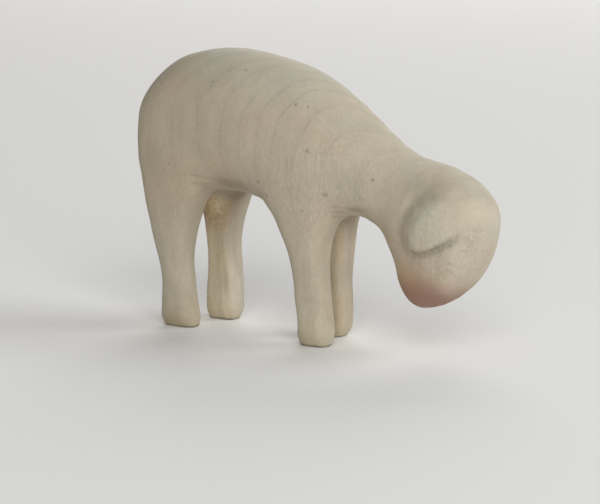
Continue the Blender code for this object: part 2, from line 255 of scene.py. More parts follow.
# places along a mass by the cosine of an even turn, so that rings crowd into the rounded ends
def placesAlong(low, high):
    turn = np.linspace(0.02, 0.98, block["ringCount"]) * np.pi
    return (low + high) / 2 - np.cos(turn) * (high - low) / 2


def narrowing(share, squareness):
    return np.clip(1 - share ** squareness, 0, 1) ** (1 / squareness)


def roughMasses():
    ex, ey, ez = np.eye(3)
    x = placesAlong(*trunk["ends"])
    centre, tall, wide, _, share = trunkSection(x)
    k = narrowing(share, trunk["squareness"])
    path = x[:, None] * ex + centre[:, None] * ez
    lofts = [carryProfile(path, wide * k, tall * k, ey, ez, trunk["squareness"])]
    z = placesAlong(*head["ends"])
    centre, long, wide, _, share = headSection(z)
    k = narrowing(share, head["squareness"])
    path = centre[:, None] * ex + z[:, None] * ez
    lofts.append(carryProfile(path, long * k, wide * k, ex, ey, head["squareness"]))
    for name in legNames:
        z = placesAlong(0, legs["top"])
        centre, middle, long, wide, _, share, squareness = legSection(z, legs[name])
        k = narrowing(share, squareness)
        path = centre[:, None] * ex + middle[:, None] * ey + z[:, None] * ez
        lofts.append(carryProfile(path, long * k, wide * k, ex, ey, squareness))
    points, faces, start = [], [], 0
    for p, f in lofts:
        points.append(p)
        faces += [[v + start for v in face] for face in f]
        start += len(p)
    return np.concatenate(points), faces


def newMesh(name, points, faces):
    mesh = bpy.data.meshes.new(name)
    mesh.from_pydata((points * mm).tolist(), [], faces)
    return mesh


# one even skin of small squares over all the masses
def fuse(points, faces):
    mesh = newMesh("masses", points, faces)
    obj = bpy.data.objects.new("masses", mesh)
    bpy.context.scene.collection.objects.link(obj)
    remesh = obj.modifiers.new("fuse", "REMESH")
    remesh.mode = "VOXEL"
    remesh.voxel_size = block["facet"] * mm
    evaluated = obj.evaluated_get(bpy.context.evaluated_depsgraph_get())
    made = evaluated.to_mesh()
    p = np.empty(len(made.vertices) * 3, np.float32)
    made.vertices.foreach_get("co", p)
    q = np.empty(len(made.polygons) * 4, np.int32)
    made.polygons.foreach_get("vertices", q)
    evaluated.to_mesh_clear()
    bpy.data.objects.remove(obj)
    bpy.data.meshes.remove(mesh)
    return p.reshape(-1, 3).astype(float) / mm, q.reshape(-1, 4)


# slope of the distance, from its change over a short step each way
def slopeAt(p):
    nudge, slope = block["nudge"], np.empty_like(p)
    for axis in range(3):
        step = np.eye(3)[axis] * nudge
        slope[:, axis] = (blockDistance(p + step) - blockDistance(p - step)) / (2 * nudge)
    return slope


# each point slides down the slope by its height over the wanted level
def settle(p, level, passes):
    far = block["farthest"]
    for _ in range(passes):
        slope = slopeAt(p)
        steep = np.maximum((slope ** 2).sum(1), block["gentlest"])
        p = p - (np.clip(blockDistance(p) - level, -far, far) / steep)[:, None] * slope
    return p


# each point moves half way to the mean of its neighbours
def relax(p, quads, passes):
    ends = np.concatenate([quads[:, [k, (k + 1) % 4]] for k in range(4)])
    a, b = np.concatenate([ends[:, 0], ends[:, 1]]), np.concatenate([ends[:, 1], ends[:, 0]])
    count = np.bincount(a, minlength=len(p))
    for _ in range(passes):
        mean = np.stack([np.bincount(a, p[b, axis], len(p)) for axis in range(3)], 1) / count[:, None]
        p = p + 0.5 * (mean - p)
    return p


points, quads = fuse(*roughMasses())
for _ in range(3):
    points = settle(relax(points, quads, 2), 0.0, 1)
print("masses fused:", len(points), "points")


# seed of each unevenness, its shortest and longest wave in millimetres, and how many waves
wavers = {
    "lobes": (31, 1.0, 2.6, 40), "growth": (11, 8, 30, 16), "trunk": (3, 5, 14, 24),
    "crumple": (14, 1.1, 2.4, 60), "gouges": (8, 4, 9, 12), "chips": (5, 1.2, 3.0, 16),
}


# gentle unevenness: a sum of seeded plane waves of several lengths, each of the same small height
def waver(p, name):
    seed, shortest, longest, count = wavers[name]
    draw = np.random.default_rng(seed)
    total = np.zeros(len(p))
    for _ in range(count):
        way = draw.normal(size=3)
        way *= 2 * np.pi / (np.linalg.norm(way) * draw.uniform(shortest, longest))
        total += np.sin(p @ way + draw.uniform(0, 2 * np.pi))
    return total / math.sqrt(count / 2)


# ears and tail: low lobes that stand proud along the lower edge, where a narrow groove undercuts them; on
# the upper side they slope gently down into a wide shallow one. Each pair is lower edge, upper edge.
ear = {
    "middle": (40.6, 8.6, 33.2), "outward": (0.075, 0.97, 0.23), "tip": (-0.71, 0.0, -0.70),
    "length": 10.7, "halfWidth": 4.7,
    "begins": (-4.4, -7.0), "whole": (5.0, 1.5),        # along the lobe, millimetres from its middle
    "raise": 0.60, "shoulder": (1.3, 4.6),
    "groove": (0.50, 0.32), "grooveWide": (0.82, 1.5), "grooveOut": (0.50, 2.0),
    "hollow": 0.25, "hollowWide": 3.0, "wobble": 0.13,
}
tail = {
    "middle": (-45.0, 0.0, 50.0), "outward": (-0.98, 0.0, 0.18), "tip": (0.0, 0.0, -1.0),
    "length": 9.0, "halfWidth": 3.2,
    "begins": (-6.0, -6.0), "whole": (-1.0, -1.0),
    "raise": 0.35, "shoulder": (1.3, 1.3),
    "groove": (0.35, 0.35), "grooveWide": (0.45, 0.6), "grooveOut": (0.3, 0.4),
    "hollow": 0.15, "hollowWide": 1.5, "wobble": 0.08,
}
# how every lobe is cut: shares of its size, and millimetres along it or outside its outline
lobeCut = {
    "upper": (-0.4, 0.9), "upperLean": 0.28,         # where the lower edge passes into the upper one
    "tip": (-0.3, 0.6),                              # where the tip begins and where it is whole
    "deepest": 5.0,                                  # the cut stays on its own side of the block
    "rise": (0.5, 0.9), "steeperTip": 0.5,           # where the lobe starts, and how much further out above
    "grooveWide": (1.2, 0.45),                       # and how much less above the tip
    "grooveEnd": (-3, 3), "endWide": 0.45, "endUpper": 4,
    "hollowOut": 1.6, "hollowBegins": (-2.5, 0.5),
    "marginIn": 1.4, "marginWide": 1.7, "marginTip": 0.7,
    "grooveStain": (0.30, 0.55),                     # all along it, and added at the tip
    "hollowStain": 0.22, "inside": (0.5, -1.5), "tailStain": 0.35,
}
# torn grain on the cheek: where it begins, is whole, wanes and ends, out from the ear and along it
cheek = {
    "out": (0.2, 1.5, 5.0, 13.0), "along": (-10.0, -3.0, 8.0, 15.0),
    "below": (1.5, -2.5), "deep": (-6.0, -3.0),
}


# a point's place on a lobe: a along it to the tip, b across it and upwards, out from it, and e outside
# its oval outline
def lobePlace(p, lobe, side):
    mirror = np.array([1, side, 1])
    outward, tip = np.array(lobe["outward"]) * mirror, np.array(lobe["tip"]) * mirror
    outward /= np.linalg.norm(outward)
    tip -= outward * (tip @ outward)
    tip /= np.linalg.norm(tip)
    rise = np.cross(tip, outward)
    rise *= np.sign(rise[2] + 0.001)
    d = p - np.array(lobe["middle"]) * mirror
    a, b, out = d @ tip, d @ rise, d @ outward
    size = np.sqrt((a / lobe["length"]) ** 2 + (b / lobe["halfWidth"]) ** 2) + 1e-6
    steep = np.sqrt((a / lobe["length"] ** 2) ** 2 + (b / lobe["halfWidth"] ** 2) ** 2) / size + 1e-6
    return a, b, out, (size - 1) / steep


# the lobe's height eases up from its outline; the groove and the hollow are bell curves of the distance
# from it. Gives the relief, the stains in the upper and the lower groove, the upper margin and the lobe.
def lobeRelief(p, lobe, side):
    a, b, out, e = lobePlace(p, lobe, side)
    e = e + lobe["wobble"] * waver(p, "lobes")
    upper = easeStep(*lobeCut["upper"], b / lobe["halfWidth"] + lobeCut["upperLean"] * a / lobe["length"])
    nearTip = easeStep(*lobeCut["tip"], a / lobe["length"])

    def blend(name):
        return lobe[name][0] + (lobe[name][1] - lobe[name][0]) * upper

    here = easeStep(blend("begins"), blend("whole"), a) * (out > -lobeCut["deepest"])
    most, less = lobeCut["grooveWide"]
    endWide, endPlace = lobeCut["endWide"], a + lobeCut["endUpper"] * upper
    wide = blend("grooveWide") * (most - less * nearTip * upper)
    wide *= endWide + (1 - endWide) * easeStep(*lobeCut["grooveEnd"], endPlace)
    groove = np.exp(-((e - blend("grooveOut")) / wide) ** 2)
    hollow = np.exp(-((e - lobeCut["hollowOut"]) / lobe["hollowWide"]) ** 2)
    hollow = upper * hollow * easeStep(*lobeCut["hollowBegins"], e)
    top, later = lobeCut["rise"]
    steeper = 1 - lobeCut["steeperTip"] * nearTip
    raised = easeStep(top + later * upper, -blend("shoulder") * steeper, e)
    height = here * (lobe["raise"] * raised - blend("groove") * groove - lobe["hollow"] * hollow)
    everywhere, atTip = lobeCut["grooveStain"]
    stain = upper * groove * (everywhere + atTip * nearTip)
    stain = here * (stain + lobeCut["hollowStain"] * hollow * steeper)
    margin = np.exp(-((e + lobeCut["marginIn"]) / lobeCut["marginWide"]) ** 2)
    margin = here * upper * (1 - lobeCut["marginTip"] * nearTip) * margin
    return height, stain, here * (1 - upper) * groove, margin, here * easeStep(*lobeCut["inside"], e)


# eases up from where it begins to where it is whole, and down again from where it wanes to where it ends
def between(value, begins, whole, wanes, ends):
    return easeStep(begins, whole, value) * easeStep(ends, wanes, value)


# relief of both ears and the tail, with the marks that the wash reads there
def carveLobes(p):
    relief = np.zeros(len(p))
    marks = {name: np.zeros(len(p)) for name in ("groove", "line", "margin", "lobe", "torn")}
    for side in (-1, 1):
        height, stain, line, margin, inside = lobeRelief(p, ear, side)
        relief += height
        marks["groove"] += stain
        marks["line"] += line
        marks["margin"] += margin
        marks["lobe"] += inside
        a, b, out, e = lobePlace(p, ear, side)
        torn = between(e, *cheek["out"]) * between(a, *cheek["along"])
        marks["torn"] += torn * easeStep(*cheek["below"], b) * easeStep(*cheek["deep"], out)
    height, stain, line, _, _ = lobeRelief(p, tail, 1)
    relief += height
    marks["groove"] += lobeCut["tailStain"] * (stain + line)
    return relief, marks


# growth rings: upright tubes about the tree's heart, which lay behind the rump on the left; the wood leans
rings = {
    "heart": (-97.7, 72.1), "heartHeight": 40, "lean": (0.25, 0.17),
    "first": 113.7, "widths": (4.0, 3.6, 3.1, 3.0, 4.4, 5.4, 5.9),
    "beyond": 4.7, "inside": 12, "outside": 15,     # width and number of the rings on either side
    "ridge": 0.05, "ridgeAbove": (10, 30), "wander": 0.22,
}
# their lines fade towards the head and the legs, and are rubbed off the top of the back and the rump
ringShow = {
    "least": 0.12, "along": (34, 24), "up": (36, 54),
    "top": (0.35, 0.85), "topRubbed": 0.85, "rump": (-38, -22), "rumpLeast": 0.1,
}


# how many rings lie between a point and the heart: its distance from the heart's line, read off the ring
# widths
def ringCountAt(p):
    up = p[:, 2] - rings["heartHeight"]
    x = p[:, 0] - rings["heart"][0] - rings["lean"][0] * up
    y = p[:, 1] - rings["heart"][1] - rings["lean"][1] * up
    far = np.hypot(x, y) + rings["wander"] * waver(p, "growth")
    known = rings["first"] + np.concatenate([[0], np.cumsum(rings["widths"])])
    inner = known[0] - rings["beyond"] * np.arange(rings["inside"], 0, -1)
    outer = known[-1] + rings["beyond"] * np.arange(1, rings["outside"] + 1)
    edges = np.concatenate([inner, known, outer])
    return np.interp(far, edges, np.arange(len(edges)))


# the rings' count, and where their lines show
def ringMarks(p, facing):
    x, _, z = p.T
    least, rumpLeast = ringShow["least"], ringShow["rumpLeast"]
    show = least + (1 - least) * easeStep(*ringShow["along"], x) * easeStep(*ringShow["up"], z)
    show *= 1 - ringShow["topRubbed"] * easeStep(*ringShow["top"], facing[:, 2])
    show *= rumpLeast + (1 - rumpLeast) * easeStep(*ringShow["rump"], x)
    return {"ringCount": ringCountAt(p), "ringShow": show}


# soft round stains; the throat's rosy one is partly painted shade
stains = {
    "muzzle": {"middle": (33.6, 0, 10.2), "core": 4.3, "reach": 16.5, "stretch": (1.0, 3.0, 1.0)},
    "throat": {"middle": (27.5, 0, 24.0), "core": 2.0, "reach": 13.0, "stretch": (1.0, 3.0, 1.3)},
    "ochre": {"middle": (-29.4, 1.8, 27.2), "core": 0.6, "reach": 6.8, "stretch": (1.1, 1.0, 1.1)},
    "shoulder": {"middle": (8.0, 0.0, 38.0), "core": 8.0, "reach": 24.0, "stretch": (1.0, 1.0, 0.75)},
}
# the same on both sides: a darker soft patch on the nape, and painted shade under the belly where it meets
# the hind and the front legs
nape = {"middle": (37.0, 6.5, 39.0), "core": 0.0, "reach": 7.5, "stretch": (1.3, 1.0, 0.65)}
paintedShadeCorners = (
    {"middle": (-16.5, 8.0, 35.7), "core": 0.5, "reach": 6.5, "stretch": (1.25, 1.2, 0.42)},
    {"middle": (17.2, 7.0, 32.7), "core": 0.2, "reach": 2.8, "stretch": (1.5, 1.2, 0.45)},
)
# and painted shade at the top of the left legs' inner faces
armpitShades = (
    {"middle": (-22.5, 3.0, 31.5), "core": 0.5, "reach": 5.6, "stretch": (1.2, 1.2, 0.55)},
    {"middle": (9.5, 3.2, 28.6), "core": 0.5, "reach": 5.0, "stretch": (1.3, 1.1, 0.7)},
)


# where painted shade gathers in the hollows, where inner faces take their warmer cast, and where the feet's
# rims are bare: how far a face looks at the other leg or down, and heights in millimetres
gathers = {
    "inward": (0.2, 0.9), "inwardBelow": (38, 28), "inwardDeep": (22, 34),
    "down": (0.2, -0.6), "rim": (1.2, 0.1),
}


# one inside the core, nothing past the reach, by the distance from the middle over the stretch
def spot(p, middle, core, reach, stretch):
    away = np.sqrt((((p - np.array(middle)) / np.array(stretch)) ** 2).sum(1))
    return easeStep(reach, core, away)


# where painted shade gathers in hollows and corners, and where stains lie
def stainAndShadeMarks(p, facing):
    x, y, z = p.T
    mirrored = np.stack([x, np.abs(y), z], 1)
    marks = {name: spot(p, **stain) for name, stain in stains.items()}
    marks["nape"] = spot(mirrored, **nape)
    shades = [spot(mirrored, **corner) for corner in paintedShadeCorners] + [spot(p, **armpit) for armpit in armpitShades]
    marks["corner"] = np.max(shades, axis=0)
    inward = easeStep(*gathers["inward"], -np.sign(y) * facing[:, 1])
    marks["inward"] = inward * easeStep(*gathers["inwardBelow"], z)
    deep = inward * easeStep(*gathers["inwardDeep"], z)
    # painted shade where the fillets by the legs face down, or where inner faces look at each other high up
    marks["hollow"] = blockForm(p)[1] * np.maximum(easeStep(*gathers["down"], facing[:, 2]), deep)
    marks["rim"] = easeStep(*gathers["rim"], z)
    return marks


# knife work: shallow scoops, each a bowl round a seeded centre, longer along the grain than across it
knife = {
    "scoops": 520, "seed": 21, "reach": 6.0, "grain": 2.0, "depth": 0.045,
    "bowl": (0.7, 1.4),                             # how far the middle is sunk, and the edge over it
    "onTrunk": 0.35, "legsBelow": (36, 24),         # share of the depth on the trunk; legs have one more
    "onChin": 3.4, "chinAlong": (28, 34), "chinBelow": (30, 22),
    "uneven": 0.10, "unevenMiddle": 0.35, "unevenShare": 0.5, "unevenRange": (-0.3, 1.5),
    "crumple": 0.05, "lobeCrumple": 0.5, "chinCrumple": 0.3,
    "chips": 0.14, "chipHeight": 1.3, "chipFrom": (0.5, 1.8),
}
# tool ridges: a place seen from the side, their reach, pitch, slant and height
gouges = (
    {"middle": (-22.0, 37.0), "reach": 9.0, "pitch": 2.1, "lean": 0.12, "depth": 0.10},
    {"middle": (14.0, 31.5), "reach": 7.0, "pitch": 1.4, "lean": 0.12, "depth": 0.08},
    {"middle": (-24.5, 29.5), "reach": 5.0, "pitch": 1.1, "lean": 0.25, "depth": 0.06},
)
# each fan is whole this near its middle, longer than high, and partly steady, partly wavering
gougeFan = {"whole": 2, "flat": 1.6, "steady": 0.6}


# square of the distance to the nearest centre over the square of a scoop's half reach
def scoopRelief(p):
    draw = np.random.default_rng(knife["seed"])
    grain = [1, 1, knife["grain"]]
    centres = p[draw.integers(0, len(p), knife["scoops"])] / grain
    q = p / grain
    nearest = np.full(len(p), np.inf)
    for i in range(0, len(centres), 40):
        gap = ((q[:, None, :] - centres[None, i:i + 40, :]) ** 2).sum(2).min(1)
        nearest = np.minimum(nearest, gap)
    middle, edge = knife["bowl"]
    return np.clip(nearest / (knife["reach"] / 2) ** 2, 0, edge) - middle


# ridges are a sine of the height, slanted along the block, that fades with the distance from their middle
def gougeRelief(p, gouge):
    along, up = p[:, 0] - gouge["middle"][0], p[:, 2] - gouge["middle"][1]
    fan = np.sin(2 * np.pi * (up + gouge["lean"] * along) / gouge["pitch"])
    near = easeStep(gouge["reach"], gougeFan["whole"], np.hypot(along, gougeFan["flat"] * up))
    steady = gougeFan["steady"]
    return gouge["depth"] * fan * near * (steady + (1 - steady) * waver(p, "gouges"))


# scoops on the legs and the chin, a faint unevenness all over, crumpled torn grain, slightly proud growth
# rings, fans of tool ridges, and chipped edges round the feet
def knifeRelief(p, marks):
    x, _, z = p.T
    chin = easeStep(*knife["chinAlong"], x) * easeStep(*knife["chinBelow"], z)
    depth = knife["onTrunk"] + easeStep(*knife["legsBelow"], z) + knife["onChin"] * chin
    relief = knife["depth"] * scoopRelief(p) * depth * (1 - marks["lobe"])
    uneven = knife["unevenMiddle"] + knife["unevenShare"] * waver(p, "trunk")
    relief -= knife["uneven"] * uneven.clip(*knife["unevenRange"])
    crumpled = marks["torn"] + knife["lobeCrumple"] * marks["lobe"] + knife["chinCrumple"] * chin
    relief += knife["crumple"] * waver(p, "crumple") * crumpled
    midRing = np.abs(marks["ringCount"] % 1 - 0.5) * 2
    relief += rings["ridge"] * (0.5 - midRing) * easeStep(*rings["ridgeAbove"], z)
    for gouge in gouges:
        relief += gougeRelief(p, gouge)
    chipped = easeStep(knife["chipHeight"], 0, z) * easeStep(*knife["chipFrom"], waver(p, "chips"))
    return relief - knife["chips"] * chipped


print("carving", len(points), "points")
slope = slopeAt(points)
facing = slope / np.linalg.norm(slope, axis=1)[:, None]
relief, marks = carveLobes(points)
marks.update(ringMarks(points, facing))
marks.update(stainAndShadeMarks(points, facing))
relief += knifeRelief(points, marks)
points = settle(points, relief, 3)
points[:, 2] = np.where(points[:, 2] < block["sole"], 0.0, points[:, 2])
lowest, highest = points.min(0), points.max(0)
shift = (np.array(cadLow) + np.array(cadHigh)) / 2 / mm - (lowest + highest) / 2
shift[2] = 0.0
print("skin box", np.round(highest - lowest, 2), "shift", np.round(shift, 3))

skin = newMesh("carvedSkin", points + shift, quads.tolist())
skin.shade_smooth()
for name, values in marks.items():
    layer = skin.attributes.new(name, "FLOAT", "POINT")
    layer.data.foreach_set("value", values.astype(np.float32))
sheep = bpy.data.objects.new("carvedSheep", skin)
bpy.context.scene.collection.objects.link(sheep)

wash = {
    "cream": (0.497, 0.428, 0.326), "greenish": (0.476, 0.424, 0.328), "rosy": (0.503, 0.419, 0.322),
    "ringLine": (0.30, 0.265, 0.20), "ringShare": 0.42, "ringWide": 4.3, "lead": 0.05,
    "innerTint": (1.03, 0.995, 0.94), "footTint": (1.0, 0.985, 0.95),
    # the colour of the painted shade in hollows and corners, and its share at the corners
    "paintedHollowShade": (0.27, 0.20, 0.135), "cornerShare": 0.55,
    "grooveStain": (0.215, 0.203, 0.148), "grooveShare": 0.60, "lineShare": 0.66,
    "earTint": (0.80, 0.88, 0.86), "lobeTint": (1.04, 1.08, 1.11), "lobeTorn": 0.5,
    "rose": (0.475, 0.368, 0.265), "throatShare": 0.5, "muzzlePink": (0.300, 0.168, 0.128),
    "ochre": (0.365, 0.243, 0.122),
    "speck": (0.15, 0.13, 0.095), "speckShare": 0.42,
    "bareRim": (0.30, 0.255, 0.165),
    "shine": 0.35,
}
# noises in the wash and the wood: the size of their lumps in millimetres, and how each axis stretches them
noises = {
    "greenish": {"size": 17, "detail": 3},
    "rosy": {"size": 11, "detail": 3, "away": (31, 17, 5)},     # read that far from the greenish one
    "mottle": {"size": 0.9, "detail": 4},
    "patch": {"size": 4.5, "detail": 3, "stretch": (1, 1, 1.8)},
    "grit": {"size": 0.25, "detail": 2},
    "streak": {"size": 1.5, "detail": 3, "stretch": (1, 1, 5)},
    "fibre": {"size": 0.30, "detail": 1.5, "stretch": (1, 1, 22)},
    "broken": {"size": 1.3, "detail": 3, "stretch": (1, 1, 1.6)},
    "worn": {"size": 12, "detail": 2},
    "ragged": {"size": 1.6, "detail": 4},
    "soft": {"size": 5, "detail": 3},
    "strokes": {"size": 0.9, "detail": 3, "stretch": (1.4, 1.4, 1)},
    "frayed": {"size": 0.7, "detail": 4},
    "flecks": {"size": 0.55, "detail": 4, "stretch": (1, 1, 1.25)},
    "blur": {"Scale": 2.4, "Detail": 2.0},                      # bends the edges of flecks and specks
}
# the low and the high of each mark or noise, and what they turn into where that isn't nought and one
eases = {
    "greenish": (0.42, 0.62), "rosy": (0.48, 0.68, 0, 0.8),
    "mottle": (0.25, 0.75, 0.95, 1.04), "patch": (0.3, 0.7, 0.97, 1.03), "grit": (0.3, 0.7, 0.975, 1.02),
    "streak": (0.32, 0.68, -0.04, 0.03), "onLegs": (34, 20), "paintedLightTowardsHead": (-46, 48, 0.96, 1.08),
    "fibre": (0.30, 0.70, -0.09, 0.06), "shoulder": (0.0, 0.7, 0.30, 1.0), "lead": (0.55, 1.0),
    "ringLine": (0.30, 0.05), "broken": (0.36, 0.56, 0.25, 1.0), "worn": (0.36, 0.58, 0.35, 1.0),
    "hollow": (0.75, 1.2, 0, 0.2), "onFeet": (9, -3), "strokes": (0.34, 0.64, 0.3, 0.95),
    "margin": (0.35, 0.6, 0.6, 1.0), "nape": (0.3, 0.7, 0.25, 0.50), "fuzzy": (0.3, 0.7, 0.75, 1.1),
    "frayed": (0.30, 0.66, 0.65, 1.15), "whole": (0.0, 1.0),
    "rose": (0.02, 0.60), "muzzlePink": (0.30, 1.05, 0, 0.95),
    "flecks": (0.36, 0.64, -0.07, 0.05), "bareRim": (0.75, 1.25, 0, 0.75),
    "roughness": (0.3, 0.7, 0.58, 0.78),
}
# how far a noise frays a mark's edge, in the mark's own measure
frays = {
    "hollow": 0.3, "feet": -8, "blush": 0.25, "rim": 0.7,
    "speck": (0.5, 0.5, 0.5), "flecks": (1.2, 1.2, 1.2),
}
# fine relief in the material, in millimetres
heights = {"mottle": 0.05, "fibre": 0.05, "ring": -0.03, "flecks": 0.26, "speck": -0.12, "grit": 0.02}
# each pin speck's place on the block and its radius
specks = (
    ((11.0, -10.8, 35.7), 0.99), ((7.0, -12.2, 45.6), 0.67), ((22.4, -9.0, 40.2), 0.67),
    ((-7.0, -11.8, 37.5), 0.67), ((-4.8, -11.3, 34.6), 0.61), ((5.2, -11.4, 31.6), 0.48),
    ((-31.3, -12.8, 39.7), 0.54), ((-12.7, -8.5, 62.6), 0.42), ((2.1, -9.9, 55.9), 0.48),
    ((5.2, -9.1, 55.4), 0.51), ((-19.9, -11.4, 59.8), 0.36), ((-14.0, 12.6, 51.0), 0.72),
    ((6.0, 11.9, 44.0), 0.58), ((-33.0, 12.0, 44.0), 0.64), ((18.0, 9.8, 41.0), 0.54),
)
# where the wash is thicker, thinner or of another cast, and where painted light and painted shade stand in
# for what the lamps give too little or too much of, as at the feet's lower edges, the leg tops and on the
# two left legs: the middle of each patch, its reach and its tint
washAndPaintedLightPatches = (
    # rump and haunch
    ((-28.0, -13.0, 45.0), 26, (0.98, 0.925, 0.88)),
    ((-36.0, -12.0, 33.0), 15, (0.955, 0.93, 0.92)),
    ((-41.0, -11.5, 48.0), 8, (1.12, 1.11, 1.08)),
    # back
    ((-8.0, 0.0, 70.0), 24, (1.05, 1.11, 1.15)),
    ((-28.0, -2.0, 67.0), 14, (1.06, 1.06, 1.06)),
    ((-24.6, -7.3, 64.4), 8, (1.05, 1.07, 1.09)),
    ((17.0, -5.0, 55.0), 12, (0.93, 0.95, 0.965)),
    # shoulder and neck
    ((9.3, -11.6, 46.5), 7, (1.06, 1.05, 1.04)),
    ((30.8, -4.9, 43.0), 6, (1.11, 1.12, 1.15)),
    # crown, brow and cheek
    ((45.0, -0.5, 39.5), 7, (0.93, 0.96, 1.01)),
    ((49.5, 1.5, 30.5), 7, (1.05, 1.05, 1.10)),
    ((44.5, -8.5, 28.5), 9, (1.05, 1.08, 1.11)),
    ((42.5, -7.9, 23.3), 5, (1.10, 1.10, 1.13)),
    # muzzle and throat
    ((46.0, -6.0, 17.0), 14, (0.965, 1.0, 1.02)),
    ((40.3, -5.8, 16.2), 4, (1.10, 1.08, 1.14)),
    ((28.5, -5.0, 17.0), 9, (1.06, 1.0, 0.86)),
    ((31.0, -8.5, 22.5), 5, (0.95, 0.91, 0.90)),
    # right hind leg
    ((-29.5, -5.5, 15.0), 8, (1.05, 1.04, 1.03)),
    # painted shade at the foot's lower edge
    ((-34.5, -9.5, 2.0), 5, (0.88, 0.85, 0.80)),
    # left hind leg
    ((-27.0, 6.0, 8.0), 13, (1.09, 1.12, 1.16)),
    ((-28.2, 4.0, 4.6), 5, (1.14, 1.14, 1.21)),
    # painted shade on the inner face and at the top of the left hind leg, then painted light at its top by
    # the ochre
    ((-25.9, 3.2, 20.5), 8, (0.84, 0.84, 0.84)),
    ((-24.0, 3.2, 28.6), 6, (0.81, 0.76, 0.72)),
    ((-30.1, 1.0, 29.2), 5, (1.46, 1.55, 1.56)),
    # right front leg
    ((6.5, -10.0, 4.0), 11, (1.07, 1.11, 1.11)),
    # painted shade at the foot's lower edge
    ((3.6, -9.8, 1.5), 4, (0.85, 0.87, 0.82)),
    ((10.0, -7.5, 25.0), 9, (1.05, 1.06, 1.06)),
    ((7.3, -2.5, 21.7), 6, (1.21, 1.20, 1.17)),
    # left front leg
    # painted shade on the left front leg and at its top
    ((10.0, 9.0, 12.0), 16, (0.80, 0.79, 0.78)),
    ((6.8, 2.5, 15.0), 5, (0.93, 0.92, 0.91)),
    ((8.4, 5.9, 26.2), 5, (0.77, 0.75, 0.71)),
)


# adds a node, sets its own settings, and feeds its sockets with values or with other nodes' outputs
def put(tree, kind, feeds, **settings):
    made = tree.nodes.new("ShaderNode" + kind)
    for key, value in settings.items():
        setattr(made, key, value)
    for key, value in feeds.items():
        if isinstance(value, bpy.types.NodeSocket):
            tree.links.new(value, made.inputs[key])
        else:
            made.inputs[key].default_value = value
    return made


def reckon(tree, operation, *values):
    return put(tree, "Math", dict(enumerate(values)), operation=operation).outputs[0]


def times(tree, a, b):
    return reckon(tree, "MULTIPLY", a, b)


# eases from one value to another as the input goes from low to high
def fade(tree, value, low, high, start=0.0, end=1.0):
    feeds = {0: value, 1: low, 2: high, 3: start, 4: end}
    return put(tree, "MapRange", feeds, interpolation_type="SMOOTHSTEP").outputs[0]


def eased(tree, value, name):
    return fade(tree, value, *eases[name])


# three values become an opaque colour, and another node's output stays as it is
def asColour(value):
    return value if isinstance(value, bpy.types.NodeSocket) else (*value, 1)


def layOver(tree, share, under, over, mode="MIX"):
    feeds = {0: share, 6: asColour(under), 7: asColour(over)}
    return put(tree, "Mix", feeds, data_type="RGBA", blend_type=mode).outputs[2]


def lumps(tree, place, name):
    noise = noises[name]
    scale = tuple(1 / (noise["size"] * s) for s in noise.get("stretch", (1, 1, 1)))
    scaled = put(tree, "Mapping", {"Vector": place, "Scale": scale}).outputs[0]
    return put(tree, "TexNoise", {"Vector": scaled, "Scale": 1.0, "Detail": noise["detail"]}).outputs[0]


def easedLumps(tree, place, name):
    return eased(tree, lumps(tree, place, name), name)


def mark(tree, name):
    return put(tree, "Attribute", {}, attribute_name=name).outputs["Fac"]


# a soft round spot, at a centre and with a radius in millimetres
def makeSpotGroup():
    tree = bpy.data.node_groups.new("softSpot", "ShaderNodeTree")
    inputs = {"Place": "NodeSocketVector", "Centre": "NodeSocketVector", "Radius": "NodeSocketFloat"}
    for label, kind in inputs.items():
        tree.interface.new_socket(label, in_out="INPUT", socket_type=kind)
    tree.interface.new_socket("Mask", in_out="OUTPUT", socket_type="NodeSocketFloat")
    given = tree.nodes.new("NodeGroupInput").outputs
    apart = {0: given["Place"], 1: given["Centre"]}
    away = put(tree, "VectorMath", apart, operation="DISTANCE").outputs["Value"]
    mask = fade(tree, away, given["Radius"], times(tree, given["Radius"], 0.1))
    tree.links.new(mask, tree.nodes.new("NodeGroupOutput").inputs["Mask"])
    return tree


def addSpot(tree, group, place, centre, radius):
    one = put(tree, "Group", {}, node_tree=group)
    tree.links.new(place, one.inputs["Place"])
    one.inputs["Centre"].default_value = centre
    one.inputs["Radius"].default_value = radius
    return one.outputs[0]


# how light the wash is: a mottle, cloudy patches, grit, on the legs upright streaks, and painted light that
# grows towards the head
def washTone(tree, place, along, up, mottle, grit):
    tone = times(tree, eased(tree, mottle, "mottle"), easedLumps(tree, place, "patch"))
    tone = times(tree, tone, eased(tree, grit, "grit"))
    tone = reckon(tree, "MULTIPLY_ADD", easedLumps(tree, place, "streak"), eased(tree, up, "onLegs"), tone)
    # painted light: the tone is darker at the rump and lighter towards the head
    return times(tree, tone, eased(tree, along, "paintedLightTowardsHead"))


# a growth ring's thin late-wood line, which breaks up and wears away, by the millimetres from its middle
def ringLine(tree, place):
    away = times(tree, reckon(tree, "PINGPONG", mark(tree, "ringCount"), 0.5), wash["ringWide"])
    line = times(tree, eased(tree, away, "ringLine"), easedLumps(tree, place, "broken"))
    line = times(tree, line, easedLumps(tree, place, "worn"))
    return times(tree, line, mark(tree, "ringShow"))


